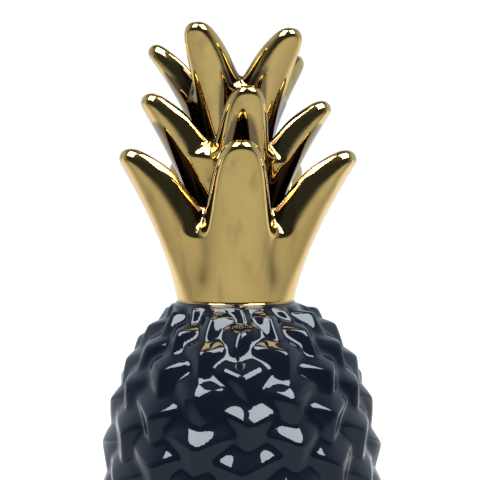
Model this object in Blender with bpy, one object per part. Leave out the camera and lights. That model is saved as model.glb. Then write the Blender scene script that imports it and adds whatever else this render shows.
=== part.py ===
"""Decorative pineapple, a glazed ceramic ornament cast in one piece.

Metres, +Z up. The origin is the middle of the flat foot and the front faces -Y.
Azimuths are in degrees, 0 at the front and growing towards +X.
"""

from bisect import bisect_left
from math import acos, atan2, ceil, cos, degrees, hypot, pi, radians, sin

import bmesh
import bpy
from mathutils import Vector

NAME = "pineapple"

# Fruit: its outline is a swollen ellipse above and below the widest level.
FRUIT_RADIUS = 0.0556
EQUATOR_HEIGHT = 0.062
ABOVE_EQUATOR = 0.084
BELOW_EQUATOR = 0.076
OUTLINE_POWER = 2.5
OUTLINE_ROOT = 2.25
NECK_HEIGHT = 0.1398
FOOT_BEVEL = 0.0015

# Scales: staggered keeled diamonds, nine in each row round the fruit.
SCALES_ROUND = 9
SCALE_TURN = 360 / SCALES_ROUND
FIRST_COLUMN = 1.5
SCALE_RELIEF = 0.0028
SCALE_VALLEY = 0.0014
PEAK_PLACE = 0.40
SIDE_FALL = 5.3
CROWN_FALL = 4.5
VALLEY_FLOOR = -0.2
STEPS_PER_SCALE = 6
LEAST_STEP = 0.001
# Arc lengths down the fruit from the neck to the front column's notches. The
# list starts above the neck and ends past the foot.
NOTCHES = (
    -0.0052,
    0.0098,
    0.0255,
    0.0419,
    0.0589,
    0.0766,
    0.0944,
    0.1122,
    0.1300,
    0.1478,
    0.1656,
    0.1834,
)
RELIEF_FADE_TOP = 0.004
RELIEF_FADE_FOOT = 0.009

# Crown: a flared stem that carries three tiers of thick curling leaves.
CROWN_SHIFT = -0.0021
STEM_SIDES = 36
LEAF_SIDES = 12
LEAF_RINGS = 10
STEM = [
    # radius, height, from the buried root up to the hollow in the top
    (0.0200, 0.1280),
    (0.0231, 0.1385),
    (0.0245, 0.1450),
    (0.0266, 0.1520),
    (0.0281, 0.1590),
    (0.0292, 0.1660),
    (0.0284, 0.1715),
    (0.0240, 0.1740),
    (0.0175, 0.1735),
    (0.0160, 0.1760),
    (0.0185, 0.1830),
    (0.0207, 0.1905),
    (0.0206, 0.1955),
    (0.0170, 0.1975),
    (0.0128, 0.1980),
    (0.0140, 0.2050),
    (0.0155, 0.2130),
    (0.0130, 0.2175),
    (0.0070, 0.2165),
]

# Each tier: the azimuth, tip radius and tip height of each leaf, and the
# (radius, height) of the root and of the bend that shape its outer line, a
# quadratic curve. Then the half width, the distance below the tip where it is
# reached, the shape of the rounded end, the half thickness, and how far the
# section bows inwards.
TIERS = {
    "lower": {
        "leaves": (
            (3, 0.0480, 0.1985),
            (72, 0.0500, 0.1970),
            (147, 0.0475, 0.1975),
            (214, 0.0470, 0.1975),
            (294, 0.0502, 0.1972),
        ),
        "root": (0.0225, 0.1400),
        "bend": (0.0303, 0.1665),
        "half_width": 0.0164,
        "widen": 0.038,
        "end": (1.0, 0.44),
        "half_thick": 0.0044,
        "bow": 36.0,
    },
    "middle": {
        "leaves": (
            (8, 0.0380, 0.2196),
            (77, 0.0400, 0.2180),
            (160, 0.0360, 0.2180),
            (220, 0.0370, 0.2180),
            (293, 0.0408, 0.2183),
        ),
        "root": (0.0120, 0.1600),
        "bend": (0.0228, 0.1900),
        "half_width": 0.0124,
        "widen": 0.030,
        "end": (2.0, 0.42),
        "half_thick": 0.0040,
        "bow": 36.0,
    },
    "top": {
        "leaves": (
            (-29, 0.0355, 0.2444),
            (44, 0.0360, 0.2428),
            (128, 0.0362, 0.2402),
            (203, 0.0325, 0.2403),
            (271, 0.0370, 0.2408),
        ),
        "root": (0.0105, 0.1880),
        "bend": (0.0195, 0.2140),
        "half_width": 0.0116,
        "widen": 0.032,
        "end": (2.0, 0.40),
        "half_thick": 0.0038,
        "bow": 36.0,
    },
}
END_THICKEN = 0.0045

BLACK_GLAZE = (0.012, 0.013, 0.018, 1.0)
GOLD_LUSTRE = (0.74, 0.57, 0.27, 1.0)
GLAZE_ROUGHNESS = 0.05
GOLD_ROUGHNESS = 0.08


def clear_scene():
    for old in list(bpy.data.objects):
        bpy.data.objects.remove(old, do_unlink=True)


def collection(name):
    made = bpy.data.collections.new(name)
    bpy.context.scene.collection.children.link(made)
    return made


def material(name, color, roughness, metallic):
    made = bpy.data.materials.new(name)
    made.use_nodes = True
    shader = made.node_tree.nodes["Principled BSDF"]
    shader.inputs["Base Color"].default_value = color
    shader.inputs["Roughness"].default_value = roughness
    shader.inputs["Metallic"].default_value = metallic
    return made


def at(azimuth, radius, height):
    """The point at a turn round the fruit's axis, a radius and a height."""
    turn = radians(azimuth)
    return Vector((radius * sin(turn), -radius * cos(turn), height))


# The fruit


def outline_radius(height):
    """The fruit's radius at a height, before the scales."""
    above = height > EQUATOR_HEIGHT
    reach = ABOVE_EQUATOR if above else BELOW_EQUATOR
    rise = abs(height - EQUATOR_HEIGHT) / reach
    return FRUIT_RADIUS * (1 - rise**OUTLINE_POWER) ** (1 / OUTLINE_ROOT)


def outline_points(count=900):
    """(arc length, height, radius) down the fruit, from the neck to the foot."""
    points = []
    for step in range(count + 1):
        height = NECK_HEIGHT * (1 - step / count)
        radius = outline_radius(height)
        length = 0.0
        if points:
            last_length, last_height, last_radius = points[-1]
            length = last_length + hypot(height - last_height, radius - last_radius)
        points.append((length, height, radius))
    return points


def outline_at(points, length):
    """(height, radius, outward normal) at an arc length down the outline."""
    after = min(max(bisect_left(points, (length,)), 1), len(points) - 1)
    low, high = points[after - 1], points[after]
    share = (length - low[0]) / (high[0] - low[0])
    height = low[1] + share * (high[1] - low[1])
    radius = low[2] + share * (high[2] - low[2])
    run = Vector((high[2] - low[2], high[1] - low[1])).normalized()
    return height, radius, Vector((-run.y, run.x))


def smooth_step(value):
    value = min(max(value, 0.0), 1.0)
    return value * value * (3 - 2 * value)


def scale_height(turns, pitches):
    """Height of the scales, 0 in the notches and 1 on the peaks.

    turns counts scales round the fruit from the front column, and pitches
    counts them down the fruit from that column's first notch. A scale is
    rounded above its peak, and below it two flat sides meet in a keel.
    """
    best = VALLEY_FLOOR
    for odd in (0.0, 0.5):
        across = turns - odd - round(turns - odd)
        down = pitches - PEAK_PLACE - odd
        for row in (ceil(down) - 1, ceil(down)):
            below = down - row
            rounded = -below / PEAK_PLACE + CROWN_FALL * across * across
            keeled = below / (1 - PEAK_PLACE) + SIDE_FALL * abs(across)
            best = max(best, 1 - max(rounded, keeled))
    return best


def scale_rows(total):
    """(arc length, scales down the fruit) of the rings from the neck to the foot.

    The scales have faded out at the two end rings.
    """
    rows = [(0.0, 0.0)]
    for number, (low, high) in enumerate(zip(NOTCHES, NOTCHES[1:])):
        for step in range(STEPS_PER_SCALE):
            share = step / STEPS_PER_SCALE
            length = low + share * (high - low)
            if LEAST_STEP < length < total - LEAST_STEP:
                rows.append((length, number - 1 + share))
    rows.append((total, 0.0))
    return rows


def fruit_mesh():
    """The fruit: a sphere's grid laid on the outline and raised by the scales."""
    points = outline_points()
    total = points[-1][0] - FOOT_BEVEL
    rows = scale_rows(total)

    mesh = bmesh.new()
    sides = SCALES_ROUND * STEPS_PER_SCALE
    foot_ring = 1
    rings = len(rows) + 1 + foot_ring
    bmesh.ops.create_uvsphere(mesh, u_segments=sides, v_segments=rings, radius=1)
    for vertex in mesh.verts:
        ring = round(acos(max(-1.0, min(1.0, vertex.co.z))) / pi * rings)
        if ring == 0:
            vertex.co = at(0, 0, NECK_HEIGHT)
            continue
        if ring == rings:
            vertex.co = at(0, 0, 0)
            continue
        segment = degrees(atan2(vertex.co.y, vertex.co.x)) / (360 / sides)
        azimuth = FIRST_COLUMN + round(segment) * 360 / sides
        if ring == rings - 1:
            foot_radius = outline_radius(0) - FOOT_BEVEL
            vertex.co = at(azimuth, foot_radius, 0)
            continue
        length, pitches = rows[ring - 1]
        height, radius, normal = outline_at(points, length)
        turns = (azimuth - FIRST_COLUMN) / SCALE_TURN
        raised = scale_height(turns, pitches)
        fade = smooth_step(length / RELIEF_FADE_TOP)
        fade *= smooth_step((total - length) / RELIEF_FADE_FOOT)
        lift = fade * (SCALE_RELIEF * raised - SCALE_VALLEY)
        vertex.co = at(azimuth, radius + normal.x * lift, height + normal.y * lift)
    flatten_foot(mesh)
    return mesh


def flatten_foot(mesh):
    """Make the fan round the bottom pole into one flat face."""
    pole = min(mesh.verts, key=lambda vertex: (vertex.co.z, hypot(vertex.co.x, vertex.co.y)))
    bmesh.ops.dissolve_verts(mesh, verts=[pole])


# The crown


def crown_at(azimuth, radius, height):
    return at(azimuth, radius, height) + Vector((CROWN_SHIFT, 0, 0))


def outer_line(points, along):
    """(radius, height) and outward normal on a leaf's outer line, 0 root, 1 tip."""
    root, bend, tip = points
    back = 1 - along
    point = back * back * root + 2 * back * along * bend + along * along * tip
    run = (2 * back * (bend - root) + 2 * along * (tip - bend)).normalized()
    return point, Vector((run.y, -run.x))


def leaf_mesh(tier, azimuth, tip_radius, tip_height):
    """One leaf: a sphere's grid drawn out along the leaf's bowed centre line."""
    points = Vector(tier["root"]), Vector(tier["bend"]), Vector((tip_radius, tip_height))
    root, bend, tip = points
    length = ((bend - root).length + (tip - bend).length + (tip - root).length) / 2
    bulge, sharpness = tier["end"]
    sideways = Vector((cos(radians(azimuth)), sin(radians(azimuth)), 0))
    mesh = bmesh.new()
    bmesh.ops.create_uvsphere(mesh, u_segments=LEAF_SIDES, v_segments=LEAF_RINGS, radius=1)
    for vertex in mesh.verts:
        below_tip = length * (1 - vertex.co.z) / 2
        around = atan2(vertex.co.y, vertex.co.x)
        pole = hypot(vertex.co.x, vertex.co.y) < 1e-5
        narrow = 1 - min(below_tip / tier["widen"], 1.0)
        thin = 1 - min(below_tip / END_THICKEN, 1.0)
        half_width = 0 if pole else tier["half_width"] * (1 - narrow**bulge) ** sharpness
        half_thick = 0 if pole else tier["half_thick"] * (1 - thin * thin) ** 0.5
        across = -half_width * cos(around)
        line, normal = outer_line(points, 1 - below_tip / length)
        inward = tier["half_thick"] - half_thick * sin(around) + tier["bow"] * across * across
        spot = line - normal * inward
        vertex.co = crown_at(azimuth, spot.x, spot.y) + sideways * across
    return mesh


def stem_mesh():
    """The flared stem: a turned shape from the fruit up to the top hollow."""
    rings = len(STEM) + 1
    mesh = bmesh.new()
    bmesh.ops.create_uvsphere(mesh, u_segments=STEM_SIDES, v_segments=rings, radius=1)
    for vertex in mesh.verts:
        ring = round(acos(max(-1.0, min(1.0, -vertex.co.z))) / pi * rings)
        azimuth = degrees(atan2(vertex.co.x, -vertex.co.y))
        if ring == 0:
            vertex.co = crown_at(0, 0, STEM[0][1])
        elif ring == rings:
            vertex.co = crown_at(0, 0, STEM[-1][1])
        else:
            vertex.co = crown_at(azimuth, *STEM[ring - 1])
    return mesh


# Putting it together


def new_object(name, mesh, group, finish):
    data = bpy.data.meshes.new(name)
    mesh.to_mesh(data)
    mesh.free()
    data.materials.append(finish)
    made = bpy.data.objects.new(name, data)
    group.objects.link(made)
    return made


def join(body, tool):
    """Unite a guide solid with the body by an exact Boolean."""
    tool.hide_render = True
    tool.display_type = "WIRE"
    union = body.modifiers.new(f"with {tool.name}", "BOOLEAN")
    union.operation = "UNION"
    union.solver = "EXACT"
    union.object = tool


def main():
    clear_scene()
    parts = collection(NAME)
    guides = collection("guides")
    glaze = material("black glaze", BLACK_GLAZE, GLAZE_ROUGHNESS, 0.0)
    gold = material("gold lustre", GOLD_LUSTRE, GOLD_ROUGHNESS, 1.0)

    pineapple = new_object(NAME, fruit_mesh(), parts, glaze)
    pineapple.data.materials.append(gold)
    join(pineapple, new_object("stem", stem_mesh(), guides, gold))
    for name, tier in TIERS.items():
        for number, place in enumerate(tier["leaves"]):
            leaf = new_object(f"{name} leaf {number + 1}", leaf_mesh(tier, *place), guides, gold)
            join(pineapple, leaf)


main()
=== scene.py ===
"""Looks of the decorative pineapple: one glazed casting with a gilded crown.

Metres, +Z up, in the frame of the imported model: the origin is the middle of
the foot and the front faces -Y. Azimuths are in degrees, 0 at the front and
growing towards +X.
"""

import functools

import bmesh
import bpy
import numpy as np
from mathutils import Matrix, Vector


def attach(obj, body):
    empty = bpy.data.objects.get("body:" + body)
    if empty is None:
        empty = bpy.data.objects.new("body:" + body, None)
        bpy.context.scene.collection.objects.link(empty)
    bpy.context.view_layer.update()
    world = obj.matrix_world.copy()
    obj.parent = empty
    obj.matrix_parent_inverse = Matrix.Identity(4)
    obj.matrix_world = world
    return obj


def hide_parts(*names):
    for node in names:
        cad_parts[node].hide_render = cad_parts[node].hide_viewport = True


# Fruit: the outline is a swollen ellipse above and below the widest level.
FRUIT_RADIUS = 0.0550
EQUATOR_HEIGHT = 0.062
ABOVE_EQUATOR = 0.084
BELOW_EQUATOR = 0.076
OUTLINE_POWER = 2.5
OUTLINE_ROOT = 2.25
NECK_HEIGHT = 0.1398
# Foot: rings by their distance inside the fruit's edge and their height. They
# round the edge over, then go from the flat rim into a shallow recess.
FOOT_RIM = 0.005
FOOT_RECESS = 0.0012
FOOT_RINGS = (
    (0.0003, 0.0003),
    (0.0010, 0.0),
    (0.0022, 0.0),
    (FOOT_RIM, 0.0),
    (FOOT_RIM + FOOT_RECESS, FOOT_RECESS),
    (0.012, FOOT_RECESS),
    (0.024, FOOT_RECESS),
)

# Scales: staggered keeled diamonds, nine in each row round the fruit.
SCALES_ROUND = 9
FIRST_COLUMN = 1.5
SCALE_RELIEF = 0.0028
SCALE_VALLEY = 0.0014
PEAK_PLACE = 0.40
SIDE_FALL = 5.3
CROWN_FALL = 4.5
KEEL_SOFTNESS = 0.02
CREST_SOFTNESS = 0.35
VALLEY_SOFTNESS = 0.30
VALLEY_FLOOR = -0.30
FLOOR_SOFTNESS = 0.5
RELIEF_FADE_TOP = 0.004
RELIEF_FADE_FOOT = 0.009
OUTLINE_POINTS = 4000
LAST_ROW_ABOVE_FOOT = 0.0006
FRUIT_SIDES = 252
FRUIT_STEP = 0.0010
# Modelled by hand: at the sides the rows sit a little higher, and the scales
# wander round, down and in depth. Each wave has its size as a share of a scale,
# how many waves go round the fruit, the turn for each row and the start.
SIDE_LEAD = 0.14
ROUND_WAVES = (
    (0.045, 2, 1.7, -2.6),
    (0.030, 5, -2.3, 0.9),
    (0.020, 9, 3.1, 2.0),
)
DOWN_WAVES = (
    (0.030, 3, 1.9, 0.6),
    (0.025, 7, -2.7, 2.2),
)
DEPTH_WAVES = (
    (0.09, 1, 0.0, 0.0),
    (0.03, 4, 2.3, 1.1),
    (0.03, 9, -1.6, 0.2),
)
# Arc lengths down the fruit from the neck to the front column's notches. The
# list starts above the neck and ends past the foot.
NOTCHES = (
    -0.0052,
    0.0098,
    0.0255,
    0.0419,
    0.0589,
    0.0766,
    0.0944,
    0.1122,
    0.1300,
    0.1478,
    0.1656,
    0.1834,
)

# Neck: where the crown's stem stands on the fruit.
CROWN_SHIFT = -0.0021
SHIFT_FADE = 0.008
NECK_TOP = 0.1450
NECK_FILLET = 0.0016
NECK_LEAN = 0.30
SHOULDER_SLOPE = 0.47
FILLET_RINGS = 9
WALL_RINGS = 7
WALL_START = 0.0235
WALL_ROUNDS = 8

# Crown: three tiers of leaves. Each leaf is a rounded plate, bowed inwards at
# its sides, whose outer side follows a quadratic curve in radius and height
# from the root by the bend to a tip, given as azimuth, radius and height.
# Its rim is set out by half the width that it reaches, how square its end is,
# and the length over which it widens. Thickness and bow go from the first value
# to the second, and the notch is the fillet between leaves of the tier.
TIERS = {
    "lower": {
        "leaves": (
            (3, 0.0480, 0.1985),
            (72, 0.0500, 0.1970),
            (147, 0.0475, 0.1975),
            (214, 0.0470, 0.1975),
            (294, 0.0492, 0.1973),
        ),
        "root": (0.0232, 0.1400),
        "bend": (0.0295, 0.1665),
        "width": 0.0084,
        "fullness": 4.2,
        "length": 0.0320,
        "thick": (0.0033, 0.0046),
        "bow": (0.0, 40.0),
        "bow_levels": (0.141, 0.171),
        "notch": 0.0036,
    },
    "middle": {
        "leaves": (
            (8, 0.0380, 0.2196),
            (77, 0.0394, 0.2169),
            (160, 0.0360, 0.2180),
            (220, 0.0370, 0.2180),
            (293, 0.0403, 0.2190),
        ),
        "root": (0.0120, 0.1600),
        "bend": (0.0210, 0.1900),
        "width": 0.0062,
        "fullness": 4.6,
        "length": 0.0230,
        "thick": (0.0031, 0.0042),
        "bow": (0.0, 40.0),
        "bow_levels": (0.165, 0.193),
        "notch": 0.0028,
    },
    "top": {
        "leaves": (
            (-28, 0.0355, 0.2439),
            (39, 0.0376, 0.2416),
            (135, 0.0396, 0.2401),
            (203, 0.0325, 0.2400),
            (271, 0.0361, 0.2401),
        ),
        "root": (0.0105, 0.1880),
        "bend": (0.0163, 0.2140),
        "width": 0.0053,
        "fullness": 4.6,
        "length": 0.0225,
        "thick": (0.0030, 0.0038),
        "bow": (5.0, 38.0),
        "bow_levels": (0.198, 0.226),
        "notch": 0.0030,
    },
}
# Stem: cones between two levels, each as lower radius and height, then upper.
STEM_CONES = (
    (0.0170, 0.1330, 0.0260, 0.1705),
    (0.0135, 0.1600, 0.0190, 0.1880),
    (0.0115, 0.1860, 0.0150, 0.2150),
)
STEM_ROUND = 0.002
STEM_FILLET = 0.0036
# A leaf reaches its full thickness this far below its tip, a notch keeps this
# share of its fillet at the low level of the bow, and no leaf is wider to
# either side than the wing's degrees, nor lower or further out than its room.
THICKEN = 0.014
SHARP_NOTCH = 0.06
WING = 50.0
ROOM_BELOW = 0.012
ROOM_ABOVE = 0.008
ROOM_OUTSIDE = 0.010
# Table of the distances from a leaf's rim.
PLAN_STEP = 0.00015
PLAN_SIDE = 0.026
PLAN_ABOVE = 0.012
PLAN_BELOW = 0.075
PLAN_LINE_POINTS = 420
# Each leaf's curve is followed a little past its tip.
PAST_TIP = 1.25
FOLLOW_ROUNDS = 5
CURVE_POINTS = 600
# The net over the crown: its box, its cell and how its points are settled.
NET_LOW = (-0.055, -0.053)
NET_HIGH = (0.052, 0.053, 0.2475)
CELL = 0.00106
SETTLE_ROUNDS = 6
RELAX_ROUNDS = 3
RELAX_SHARE = 0.6
FLATTEST_SLOPE = 0.05
FIELD_STEP = 2e-5
TINY_STEP = 1e-5
# Distance within which a facing surface of the crown paints shade onto the gold.
CLOSE_BY = 0.010

# Glaze and lustre: the gold begins at a level that strays up and down by a part
# of the stray, and it is mottled from one colour to the other, with marks.
BLACK = (0.0030, 0.0045, 0.0085, 1)
BLACK_TINT = (0.86, 0.96, 1.0, 1)
BLACK_SHINE = 0.33
BLACK_ROUGHNESS = 0.03
WHITE = (1, 1, 1, 1)
GOLD_LEVEL = 0.14030
GOLD_BLUR = 0.0001
GOLD_STRAY = 0.0012
PALE_GOLD = (0.56, 0.385, 0.130, 1)
DEEP_GOLD = (0.49, 0.325, 0.105, 1)
STREAK_GOLD = (0.36, 0.225, 0.075, 1)
STREAK_STRETCH = (1.0, 1.0, 0.12)
SMUDGE_GOLD = (0.42, 0.30, 0.15, 1)
FLECK_GOLD = (0.05, 0.03, 0.012, 1)
FLECK_LEVELS = (0.1406, 0.1418)
# Painted shade: the dark colour put into the gold where other parts of the crown face it closely.
PAINTED_SHADE_GOLD = (0.10, 0.07, 0.045, 1)
GOLD_ROUGHNESS = (0.05, 0.10)

# Studio: the room's colours as reflections see them, and two soft lights, each
# with its place, width and height and watts, turned to the same target.
DARK_ROOM = (0.040, 0.052, 0.068, 1)
DARK_CEILING = (0.17, 0.18, 0.19, 1)
BRIGHT_WALL = (0.70, 0.80, 0.90, 1)
LIGHT_TARGET = (0, 0, 0.15)
SOFTBOXES = {
    "left softbox": ((-0.40, -0.45, 0.95), (0.50, 0.70), 18),
    "right softbox": ((0.46, -0.45, 0.95), (0.56, 0.70), 20),
}
FLOOR_RADIUS = 4.0
FLOOR_COLOUR = (0.28, 0.305, 0.33, 1)
FLOOR_ROUGHNESS = 0.7

# Camera: level, at the height and distance that the photo's perspective gives.
CAMERA_DISTANCE = 0.400
CAMERA_HEIGHT = 0.1648
CAMERA_SIDE = -0.0004
LENS = 75.0
SENSOR = 36.0


def at(azimuth, radius, height):
    """Points at turns round the axis, radii and heights."""
    turn = np.radians(azimuth)
    return np.stack([radius * np.sin(turn), -radius * np.cos(turn), height + 0 * turn], axis=-1)


def smooth_step(value):
    value = np.clip(value, 0.0, 1.0)
    return value * value * (3 - 2 * value)


def soft_min(first, second, reach):
    """The lesser of two values, rounded over where they come within reach."""
    near = np.maximum(reach - np.abs(first - second), 0.0) / reach
    return np.minimum(first, second) - near**3 * reach / 6


def soft_max(first, second, reach):
    return -soft_min(-first, -second, reach)


# The fruit


def outline_radius(height):
    """The fruit's radius at a height, before the scales."""
    reach = np.where(height > EQUATOR_HEIGHT, ABOVE_EQUATOR, BELOW_EQUATOR)
    rise = np.abs(height - EQUATOR_HEIGHT) / reach
    return FRUIT_RADIUS * (1 - rise**OUTLINE_POWER) ** (1 / OUTLINE_ROOT)


def fruit_outline():
    """Arc length, height and radius down the fruit, closely spaced."""
    height = np.linspace(NECK_HEIGHT, 0.0, OUTLINE_POINTS)
    radius = outline_radius(height)
    length = np.concatenate([[0.0], np.cumsum(np.hypot(np.diff(height), np.diff(radius)))])
    return length, height, radius


def scale_height(turns, pitches):
    """Height of the scales, near 0 in the notches and near 1 on the peaks."""
    best = None
    for odd in (0.0, 0.5):
        across = turns - odd - np.round(turns - odd)
        down = pitches - PEAK_PLACE - odd
        for row in (np.floor(down), np.floor(down) + 1):
            below = down - row
            side = np.sqrt(across**2 + KEEL_SOFTNESS**2) - KEEL_SOFTNESS
            rounded = -below / PEAK_PLACE + CROWN_FALL * across * across
            keeled = below / (1 - PEAK_PLACE) + SIDE_FALL * side
            lift = 1 - soft_max(rounded, keeled, CREST_SOFTNESS)
            best = lift if best is None else soft_max(best, lift, VALLEY_SOFTNESS)
    return soft_max(best, VALLEY_FLOOR, FLOOR_SOFTNESS)


def wander(waves, turn, pitches):
    """A sum of waves round the fruit and down it."""
    total = 0.0
    for size, count, lead, start in waves:
        total = total + size * np.sin(count * turn + lead * pitches + start)
    return total


def stem_wall(azimuth, height):
    """Radius about the crown's axis where its surface is, at turns and heights."""
    azimuth, height = np.broadcast_arrays(azimuth, height)
    radius = np.full(azimuth.size, WALL_START)
    for _ in range(WALL_ROUNDS):
        points = at(azimuth.ravel(), radius, height.ravel())
        points[:, 0] += CROWN_SHIFT
        further = at(azimuth.ravel(), radius + TINY_STEP, height.ravel())
        further[:, 0] += CROWN_SHIFT
        value = crown_field(points)
        radius = radius - value / ((crown_field(further) - value) / TINY_STEP)
    return radius.reshape(azimuth.shape)


def neck_rows(azimuth, length, height, radius):
    """Radius and height of the rings down the stem's wall and its fillet.

    The last value given back is the length down the fruit to the fillet's end.
    """
    start = -np.arctan(NECK_LEAN)
    end = np.pi / 2 - SHOULDER_SLOPE
    turns = np.linspace(start, end, FILLET_RINGS)
    wall_foot = np.median(stem_wall(azimuth, NECK_HEIGHT + NECK_FILLET))
    reach = wall_foot + NECK_FILLET * (np.cos(start) - np.cos(turns))
    fillet_end = np.interp(reach[-1], radius, length)
    drop = np.interp(fillet_end, length, height)
    rise = drop + NECK_FILLET * (np.sin(end) - np.sin(turns))
    wall_height = np.linspace(NECK_TOP - CELL / 2, rise[0], WALL_RINGS)
    wall_radius = stem_wall(azimuth[None, :], wall_height[:, None])
    settling = np.linspace(1, 0, len(turns))[1:, None]
    fillet = reach[1:, None] + (wall_radius[-1] - wall_foot)[None, :] * settling
    rings = np.concatenate([wall_radius, fillet])
    return rings, np.concatenate([wall_height, rise[1:]]), fillet_end


def fruit_grid():
    """Rings of points from the neck to the middle of the foot, row by row."""
    length, height, radius = fruit_outline()
    total = length[-1]
    azimuth = FIRST_COLUMN + np.arange(FRUIT_SIDES) * 360 / FRUIT_SIDES
    ring_radius, ring_height, fillet_end = neck_rows(azimuth, length, height, radius)
    rows = np.arange(fillet_end + FRUIT_STEP / 2, total - LAST_ROW_ABOVE_FOOT, FRUIT_STEP)
    row_height = np.interp(rows, length, height)
    row_radius = np.interp(rows, length, radius)
    run_height = np.gradient(row_height, rows)
    run_radius = np.gradient(row_radius, rows)
    turns = (azimuth - FIRST_COLUMN) / 360 * SCALES_ROUND
    pitches = np.interp(rows, NOTCHES, np.arange(len(NOTCHES)) - 1)[:, None]
    turn = np.radians(azimuth)[None, :]

    round_shift = wander(ROUND_WAVES, turn, pitches)
    down_shift = SIDE_LEAD * np.sin(turn) ** 2 + wander(DOWN_WAVES, turn, pitches)
    raised = scale_height(turns[None, :] - round_shift, pitches + down_shift)
    raised *= 1 + wander(DEPTH_WAVES, turn, pitches)
    fade = smooth_step(rows / RELIEF_FADE_TOP) * smooth_step((total - rows) / RELIEF_FADE_FOOT)
    lift = fade[:, None] * (SCALE_RELIEF * raised - SCALE_VALLEY)
    grid_radius = row_radius[:, None] - run_height[:, None] * lift
    grid_height = row_height[:, None] + run_radius[:, None] * lift
    shift = CROWN_SHIFT * (1 - smooth_step(rows / SHIFT_FADE))
    skin = at(azimuth[None, :], grid_radius, grid_height)
    skin[..., 0] += shift[:, None]

    neck = at(azimuth[None, :], ring_radius, ring_height[:, None])
    neck[..., 0] += CROWN_SHIFT

    inwards, foot_height = np.array(FOOT_RINGS).T
    foot = at(azimuth[None, :], (radius[-1] - inwards)[:, None], foot_height[:, None])
    return np.concatenate([neck, skin, foot])


# The crown


def leaf_curve(root, bend, tip, along):
    """Points of a quadratic curve at shares of its way from root to tip."""
    back = 1 - along
    return back**2 * root + 2 * back * along * bend + along**2 * tip


@functools.lru_cache
def plan_table(width, fullness, length):
    """Distances outside the line that a leaf's rounded rim is built on.

    Rows go by the reach to the side, columns by the depth below the line's top.
    """
    side = np.arange(0.0, PLAN_SIDE, PLAN_STEP)
    down = np.arange(-PLAN_ABOVE, PLAN_BELOW, PLAN_STEP)
    line = np.linspace(0.0, PLAN_SIDE * 1.2, PLAN_LINE_POINTS)
    level = length * (1 - np.exp(-((line / width) ** fullness)))
    table = np.zeros((len(side), len(down)))
    for row, reach in enumerate(side):
        gap = (line - reach) ** 2 + (level - down[:, None]) ** 2
        outside = down < length * (1 - np.exp(-((reach / width) ** fullness)))
        table[row] = np.where(outside, np.sqrt(gap.min(axis=1)), 0.0)
    return table


def leaf_plan(across, below_top, tier):
    """Distance outside the rim's line, read between the table's entries."""
    table = plan_table(tier["width"], tier["fullness"], tier["length"])
    row = np.clip(np.abs(across) / PLAN_STEP, 0, table.shape[0] - 1.001)
    column = np.clip((below_top + PLAN_ABOVE) / PLAN_STEP, 0, table.shape[1] - 1.001)
    i, j = row.astype(int), column.astype(int)
    row, column = row - i, column - j
    near = table[i, j] * (1 - column) + table[i, j + 1] * column
    far = table[i + 1, j] * (1 - column) + table[i + 1, j + 1] * column
    return near * (1 - row) + far * row


def bow_share(height, tier):
    low, high = tier["bow_levels"]
    return smooth_step((height - low) / (high - low))


def leaf_field(reach, aside, height, tier, tip_radius, tip_height):
    """Rough distance from one leaf, negative inside it.

    The points are given by their reach from the crown's axis, their turn away
    from the leaf's middle in radians and their height.
    """
    across = reach * np.sin(aside)
    lowest, highest = tier["bow"]
    bow = lowest + (highest - lowest) * bow_share(height, tier)
    stretch = np.hypot(1, 2 * bow * across)
    flat = np.stack([reach + bow * across**2, height], axis=1)

    root, bend = np.array(tier["root"]), np.array(tier["bend"])
    tip = np.array((tip_radius, tip_height))
    turning = root - 2 * bend + tip
    lead = bend - root
    along = np.clip((flat - root) @ (tip - root) / ((tip - root) @ (tip - root)), 0, 1.2)
    for _ in range(FOLLOW_ROUNDS):
        gap = root + 2 * along[:, None] * lead + along[:, None] ** 2 * turning - flat
        run = 2 * (lead + along[:, None] * turning)
        slope = (run * run).sum(axis=1) + 2 * gap @ turning
        along = np.clip(along - (gap * run).sum(axis=1) / slope, 0.0, PAST_TIP)
    spot = root + 2 * along[:, None] * lead + along[:, None] ** 2 * turning
    run = 2 * (lead + along[:, None] * turning)
    run /= np.linalg.norm(run, axis=1)[:, None]
    offset = (flat[:, 0] - spot[:, 0]) * run[:, 1] - (flat[:, 1] - spot[:, 1]) * run[:, 0]

    steps = np.linspace(0, PAST_TIP, CURVE_POINTS)
    path = leaf_curve(root, bend, tip, steps[:, None])
    travelled = np.concatenate([[0.0], np.cumsum(np.linalg.norm(np.diff(path, axis=0), axis=1))])
    below_tip = np.interp(1.0, steps, travelled) - np.interp(along, steps, travelled)

    thin, full = tier["thick"]
    thick = thin + (full - thin) * smooth_step(below_tip / THICKEN)
    beyond = leaf_plan(across, below_tip - thin, tier) * stretch
    return np.hypot(beyond, (offset + thick) / stretch) - thick


def cone_field(points, low_radius, low, high_radius, high):
    """Distance from a cone's frustum with rounded edges."""
    reach = np.hypot(points[:, 0] - CROWN_SHIFT, points[:, 1])
    lean = (high_radius - low_radius) / (high - low)
    wall = (reach - (low_radius + (points[:, 2] - low) * lean)) / np.hypot(1, lean)
    level = np.abs(points[:, 2] - (low + high) / 2) - (high - low) / 2
    wall, level = wall + STEM_ROUND, level + STEM_ROUND
    outside = np.hypot(np.maximum(wall, 0), np.maximum(level, 0))
    return outside + np.minimum(np.maximum(wall, level), 0) - STEM_ROUND


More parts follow.
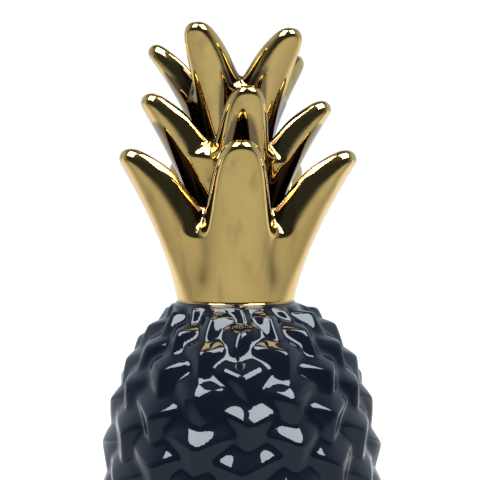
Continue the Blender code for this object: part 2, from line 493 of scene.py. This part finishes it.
def crown_field(points):
    """Field of the whole crown: zero on its surface, negative inside."""
    field = None
    for cone in STEM_CONES:
        value = cone_field(points, *cone)
        field = value if field is None else soft_min(field, value, STEM_FILLET)
    reach = np.hypot(points[:, 0] - CROWN_SHIFT, points[:, 1])
    turn = np.degrees(np.arctan2(points[:, 0] - CROWN_SHIFT, -points[:, 1]))
    height = points[:, 2]
    for tier in TIERS.values():
        ring = np.full(len(points), 1.0)
        fillet = tier["notch"] * (SHARP_NOTCH + (1 - SHARP_NOTCH) * bow_share(height, tier))
        for azimuth, tip_radius, tip_height in tier["leaves"]:
            aside = (turn - azimuth + 180) % 360 - 180
            near = (height > tier["root"][1] - ROOM_BELOW) & (height < tip_height + ROOM_ABOVE)
            near &= (np.abs(aside) < WING) & (reach < tip_radius + ROOM_OUTSIDE)
            near = np.nonzero(near)[0]
            leaf = tip_radius, tip_height
            value = leaf_field(reach[near], np.radians(aside[near]), height[near], tier, *leaf)
            ring[near] = soft_min(ring[near], value, fillet[near])
        field = soft_min(field, ring, STEM_FILLET)
    return field


def crown_slope(points):
    """Gradient of the crown's field by central differences."""
    slopes = []
    for axis in np.eye(3) * FIELD_STEP:
        slopes.append((crown_field(points + axis) - crown_field(points - axis)) / (2 * FIELD_STEP))
    return np.stack(slopes, axis=1)


def crown_net():
    """A net of quads over the crown's surface, open at the bottom of the stem."""
    low = np.array([*NET_LOW, NECK_TOP - CELL / 2])
    counts = np.ceil((np.array(NET_HIGH) - low) / CELL).astype(int) + 1
    axes = [low[i] + CELL * np.arange(counts[i]) for i in range(3)]
    nodes = np.stack(np.meshgrid(*axes, indexing="ij"), axis=-1)
    field = crown_field(nodes.reshape(-1, 3)).reshape(counts)

    inside = field < 0
    corners = np.zeros(counts - 1, dtype=int)
    for i in (0, 1):
        for j in (0, 1):
            for k in (0, 1):
                part = inside[i : counts[0] - 1 + i, j : counts[1] - 1 + j, k : counts[2] - 1 + k]
                corners += part
    crossed = (corners > 0) & (corners < 8)
    number = np.full(counts - 1, -1)
    number[crossed] = np.arange(crossed.sum())
    cells = np.argwhere(crossed)
    points = low + CELL * (cells + 0.5)

    faces = []
    for axis in range(3):
        first, second = [a for a in range(3) if a != axis]
        ahead = np.take(inside, range(1, counts[axis]), axis=axis)
        behind = np.take(inside, range(0, counts[axis] - 1), axis=axis)
        edges = np.argwhere(ahead != behind)
        keep = (edges[:, first] > 0) & (edges[:, second] > 0)
        keep &= (edges[:, first] < counts[first] - 1) & (edges[:, second] < counts[second] - 1)
        edges = edges[keep]
        flip = behind[tuple(edges.T)] == (axis != 1)
        loop = []
        for back_first, back_second in ((0, 0), (1, 0), (1, 1), (0, 1)):
            cell = edges.copy()
            cell[:, first] -= back_first
            cell[:, second] -= back_second
            loop.append(number[tuple(cell.T)])
        quads = np.stack(loop, axis=1)
        quads[flip] = quads[flip][:, ::-1]
        faces.append(quads)
    faces = np.concatenate(faces)
    sides = np.concatenate([faces[:, [0, 1]], faces[:, [1, 2]], faces[:, [2, 3]], faces[:, [3, 0]]])
    sides, uses = np.unique(np.sort(sides, axis=1), axis=0, return_counts=True)
    bottom = np.zeros(len(points), dtype=bool)
    bottom[sides[uses == 1]] = True
    return points, faces, bottom


def settle(points, bottom):
    """Pull the net's points towards the crown's surface, the bottom ring level."""
    slope = crown_slope(points)
    slope[bottom, 2] = 0
    size = (slope**2).sum(axis=1)[:, None]
    move = crown_field(points)[:, None] * slope / np.maximum(size, FLATTEST_SLOPE)
    return points - np.clip(move, -CELL, CELL)


def shade_to_paint(points):
    """How closely other parts of the crown face each point, from 0 to 1, as the share of painted
    shade in the gold.
    """
    normal = crown_slope(points)
    normal /= np.linalg.norm(normal, axis=1)[:, None]
    return np.clip(1 - crown_field(points + CLOSE_BY * normal) / CLOSE_BY, 0.0, 1.0)


def relax(points, faces, bottom):
    """Even out the net along the surface, and pull it back on after each round."""
    pairs = np.concatenate([faces[:, [0, 1]], faces[:, [1, 2]], faces[:, [2, 3]], faces[:, [3, 0]]])
    for _ in range(RELAX_ROUNDS):
        total = np.zeros_like(points)
        count = np.zeros(len(points))
        for a, b in ((0, 1), (1, 0)):
            np.add.at(total, pairs[:, a], points[pairs[:, b]])
            np.add.at(count, pairs[:, a], 1)
        middle = total / count[:, None]
        normal = crown_slope(points)
        normal /= np.linalg.norm(normal, axis=1)[:, None]
        move = middle - points
        move -= (move * normal).sum(axis=1)[:, None] * normal
        move[bottom] = 0
        points = settle(points + RELAX_SHARE * move, bottom)
    return points


# One skin


def zip_rings(upper, lower, points):
    """Triangles between two rings of point numbers round the crown's axis."""

    def turn(ring):
        return np.arctan2(points[ring, 1], points[ring, 0] - CROWN_SHIFT)

    upper = upper[np.argsort(turn(upper))]
    lower = lower[np.argsort(turn(lower))]
    upper_turn = np.append(turn(upper), turn(upper)[0] + 2 * np.pi)
    lower_turn = np.append(turn(lower), turn(lower)[0] + 2 * np.pi)
    triangles = []
    i = j = 0
    while i < len(upper) or j < len(lower):
        a, b = upper[i % len(upper)], lower[j % len(lower)]
        go_up = j == len(lower) or (i < len(upper) and upper_turn[i + 1] <= lower_turn[j + 1])
        if go_up:
            triangles.append((b, upper[(i + 1) % len(upper)], a))
            i += 1
        else:
            triangles.append((b, lower[(j + 1) % len(lower)], a))
            j += 1
    return triangles


def casting():
    """The whole casting as one closed skin."""
    grid = fruit_grid()
    rows, sides = grid.shape[:2]
    skin = grid.reshape(-1, 3)
    numbers = np.arange(rows * sides).reshape(rows, sides)
    ahead = np.roll(numbers, -1, axis=1)
    quads = np.stack([numbers[:-1], numbers[1:], ahead[1:], ahead[:-1]], axis=-1).reshape(-1, 4)

    net, net_faces, bottom = crown_net()
    for _ in range(SETTLE_ROUNDS):
        net = settle(net, bottom)
    net[bottom, 2] = NECK_TOP
    net = relax(net, net_faces, bottom)
    points = np.concatenate([skin, net])
    net_faces = net_faces + len(skin)
    seam = np.nonzero(bottom)[0] + len(skin)
    joint = zip_rings(seam, numbers[0], points)

    faces = [tuple(quad) for quad in quads.tolist()]
    faces += [tuple(quad) for quad in net_faces.tolist()]
    faces += [tuple(int(n) for n in triangle) for triangle in joint]
    faces.append(tuple(int(n) for n in numbers[-1]))
    mesh = bpy.data.meshes.new("pineapple_casting")
    mesh.from_pydata([tuple(point) for point in points.tolist()], [], faces)
    shape = bmesh.new()
    shape.from_mesh(mesh)
    bmesh.ops.recalc_face_normals(shape, faces=shape.faces)
    shape.to_mesh(mesh)
    shape.free()
    mesh.shade_smooth()
    # Share of painted shade for each point: none on the fruit, more on the crown where other parts
    # face it closely.
    painted_shade = mesh.attributes.new("painted_shade", "FLOAT", "POINT")
    painted_shade.data.foreach_set("value", np.concatenate([np.zeros(len(skin)), shade_to_paint(net)]))
    made = bpy.data.objects.new("pineapple_casting", mesh)
    bpy.context.scene.collection.objects.link(made)
    return made


# Finish


class Nodes:
    """Short calls for adding and linking a material's nodes."""

    def __init__(self, tree):
        self.tree = tree

    def add(self, kind, **settings):
        node = self.tree.nodes.new(kind)
        inputs = settings.pop("inputs", {})
        for name, value in settings.items():
            setattr(node, name, value)
        for name, value in inputs.items():
            self.feed(node.inputs[name], value)
        return node

    def feed(self, socket, value):
        if isinstance(value, bpy.types.NodeSocket):
            self.tree.links.new(value, socket)
        else:
            socket.default_value = value

    def math(self, operation, first, second=0.0, clamp=False):
        node = self.add("ShaderNodeMath", operation=operation, use_clamp=clamp)
        self.feed(node.inputs[0], first)
        self.feed(node.inputs[1], second)
        return node.outputs[0]

    def noise(self, place, scale, detail=2.0):
        node = self.add("ShaderNodeTexNoise", inputs={"Scale": scale, "Detail": detail})
        self.feed(node.inputs["Vector"], place)
        return node.outputs["Fac"]

    def blend(self, share, first, second):
        node = self.add("ShaderNodeMix", data_type="RGBA")
        self.feed(node.inputs["Factor"], share)
        self.feed(node.inputs[6], first)
        self.feed(node.inputs[7], second)
        return node.outputs[2]

    def ramp(self, value, low, high, to_low=0.0, to_high=1.0):
        node = self.add("ShaderNodeMapRange", interpolation_type="SMOOTHSTEP")
        self.feed(node.inputs["Value"], value)
        names = ("From Min", "From Max", "To Min", "To Max")
        for name, setting in zip(names, (low, high, to_low, to_high)):
            self.feed(node.inputs[name], setting)
        return node.outputs["Result"]


def lustre(nodes, place, height):
    """Colour of the gold: mottled, with streaks, smudges and specks, and painted shade in hollows
    where other parts of the crown face it closely.
    """
    gold = nodes.blend(nodes.ramp(nodes.noise(place, 35.0), 0.35, 0.75), PALE_GOLD, DEEP_GOLD)
    drawn_out = nodes.add("ShaderNodeMapping", inputs={"Vector": place, "Scale": STREAK_STRETCH})
    streak = nodes.ramp(nodes.noise(drawn_out.outputs[0], 190.0, 3.0), 0.50, 0.74, 0.0, 0.60)
    gold = nodes.blend(streak, gold, STREAK_GOLD)
    smudge = nodes.ramp(nodes.noise(place, 130.0, 4.0), 0.60, 0.70, 0.0, 0.35)
    gold = nodes.blend(smudge, gold, SMUDGE_GOLD)
    low = nodes.ramp(height, *FLECK_LEVELS, 1.0, 0.0)
    speck = nodes.ramp(nodes.noise(place, 520.0, 1.0), 0.68, 0.71)
    gold = nodes.blend(nodes.math("MULTIPLY", speck, low), gold, FLECK_GOLD)
    # Painted shade: the gold is darkened towards dark brown where other parts of the crown face it
    # closely.
    shade_share = nodes.add("ShaderNodeAttribute", attribute_name="painted_shade").outputs["Fac"]
    return nodes.blend(nodes.ramp(shade_share, 0.10, 0.60, 0.0, 0.85), gold, PAINTED_SHADE_GOLD)


def glaze_and_lustre():
    """Black glaze all over, with a mirror of gold lustre above the neck."""
    material = bpy.data.materials.new("black glaze and gold lustre")
    material.use_nodes = True
    nodes = Nodes(material.node_tree)
    shader = material.node_tree.nodes["Principled BSDF"]
    place = nodes.add("ShaderNodeTexCoord").outputs["Object"]
    height = nodes.add("ShaderNodeSeparateXYZ", inputs={"Vector": place}).outputs["Z"]

    stray = nodes.math("SUBTRACT", nodes.noise(place, 60.0), 0.5)
    edge = nodes.math("ADD", height, nodes.math("MULTIPLY", stray, GOLD_STRAY))
    gilded = nodes.ramp(edge, GOLD_LEVEL, GOLD_LEVEL + GOLD_BLUR)
    gold = lustre(nodes, place, height)
    shine = nodes.ramp(height, GOLD_LEVEL, GOLD_LEVEL + GOLD_BLUR, BLACK_SHINE, 0.5)
    gold_rough = nodes.ramp(nodes.noise(place, 90.0, 4.0), 0.35, 0.8, *GOLD_ROUGHNESS)
    rough = nodes.add("ShaderNodeMix", data_type="FLOAT")
    nodes.feed(rough.inputs[0], gilded)
    nodes.feed(rough.inputs[2], BLACK_ROUGHNESS)
    nodes.feed(rough.inputs[3], gold_rough)
    ripple = nodes.add("ShaderNodeBump", inputs={"Strength": 0.10, "Distance": 0.0004})
    nodes.feed(ripple.inputs["Height"], nodes.noise(place, 110.0, 2.0))

    nodes.feed(shader.inputs["Base Color"], nodes.blend(gilded, BLACK, gold))
    nodes.feed(shader.inputs["Specular Tint"], nodes.blend(gilded, BLACK_TINT, WHITE))
    nodes.feed(shader.inputs["Specular IOR Level"], shine)
    nodes.feed(shader.inputs["Metallic"], gilded)
    nodes.feed(shader.inputs["Roughness"], rough.outputs[0])
    nodes.feed(shader.inputs["Normal"], ripple.outputs["Normal"])
    return material


# Studio


def softbox(name, place, size, power):
    data = bpy.data.lights.new(name, "AREA")
    data.shape = "RECTANGLE"
    data.size, data.size_y = size
    data.energy = power
    made = bpy.data.objects.new(name, data)
    made.location = place
    made.rotation_euler = (Vector(LIGHT_TARGET) - Vector(place)).to_track_quat("-Z", "Y").to_euler()
    bpy.context.scene.collection.objects.link(made)


def room():
    """White where the camera sees it, and a dim room with a bright wall in reflections."""
    world = bpy.data.worlds.new("studio")
    world.use_nodes = True
    bpy.context.scene.world = world
    nodes = Nodes(world.node_tree)
    background = world.node_tree.nodes["Background"]
    output = world.node_tree.nodes["World Output"]
    way = nodes.add("ShaderNodeTexCoord").outputs["Generated"]
    split = nodes.add("ShaderNodeSeparateXYZ", inputs={"Vector": way})
    behind = nodes.ramp(split.outputs["Y"], -0.60, 0.25)
    below_ceiling = nodes.ramp(split.outputs["Z"], 0.55, 0.9, 1.0, 0.0)
    ceiling = nodes.ramp(split.outputs["Z"], 0.35, 0.95)
    dark = nodes.blend(ceiling, DARK_ROOM, DARK_CEILING)
    wall = nodes.math("MULTIPLY", behind, below_ceiling)
    nodes.feed(background.inputs["Color"], nodes.blend(wall, dark, BRIGHT_WALL))
    white = nodes.add("ShaderNodeBackground", inputs={"Color": WHITE, "Strength": 1.0})
    seen = nodes.add("ShaderNodeLightPath").outputs["Is Camera Ray"]
    pick = nodes.add("ShaderNodeMixShader")
    nodes.feed(pick.inputs[0], seen)
    nodes.feed(pick.inputs[1], background.outputs[0])
    nodes.feed(pick.inputs[2], white.outputs[0])
    nodes.feed(output.inputs["Surface"], pick.outputs[0])


def pale_floor():
    """Floor that fades to white behind the piece, and far off for the camera."""
    bpy.ops.mesh.primitive_circle_add(vertices=96, radius=FLOOR_RADIUS, fill_type="NGON")
    floor = bpy.context.object
    floor.name = "floor"
    material = bpy.data.materials.new("pale floor")
    material.use_nodes = True
    nodes = Nodes(material.node_tree)
    shader = material.node_tree.nodes["Principled BSDF"]
    shader.inputs["Base Color"].default_value = FLOOR_COLOUR
    shader.inputs["Roughness"].default_value = FLOOR_ROUGHNESS
    place = nodes.add("ShaderNodeTexCoord").outputs["Object"]
    back = nodes.add("ShaderNodeSeparateXYZ", inputs={"Vector": place}).outputs["Y"]
    far = nodes.add("ShaderNodeVectorMath", operation="LENGTH", inputs={"Vector": place})
    seen = nodes.add("ShaderNodeLightPath").outputs["Is Camera Ray"]
    paler = nodes.math("MULTIPLY", nodes.ramp(far.outputs["Value"], 0.25, 1.3), seen)
    glow = nodes.math("MAXIMUM", nodes.ramp(back, 0.05, 0.35), paler)
    shader.inputs["Emission Color"].default_value = WHITE
    nodes.feed(shader.inputs["Emission Strength"], glow)
    floor.data.materials.append(material)


def camera():
    data = bpy.data.cameras.new("camera")
    data.lens = LENS
    data.sensor_width = SENSOR
    made = bpy.data.objects.new("camera", data)
    made.location = (CAMERA_SIDE, -CAMERA_DISTANCE, CAMERA_HEIGHT)
    made.rotation_euler = (np.pi / 2, 0, 0)
    bpy.context.scene.collection.objects.link(made)
    bpy.context.scene.camera = made


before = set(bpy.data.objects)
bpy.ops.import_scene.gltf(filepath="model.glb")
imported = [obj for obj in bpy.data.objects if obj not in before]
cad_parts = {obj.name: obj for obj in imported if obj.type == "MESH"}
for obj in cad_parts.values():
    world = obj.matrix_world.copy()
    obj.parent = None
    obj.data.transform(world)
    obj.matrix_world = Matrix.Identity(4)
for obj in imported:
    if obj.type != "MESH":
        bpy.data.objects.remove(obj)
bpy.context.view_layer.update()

camera()
room()
for name, (place, size, power) in SOFTBOXES.items():
    softbox(name, place, size, power)
pale_floor()
piece = casting()
piece.data.materials.append(glaze_and_lustre())
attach(piece, "root")
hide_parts("pineapple")
bpy.context.scene.view_settings.view_transform = "Standard"
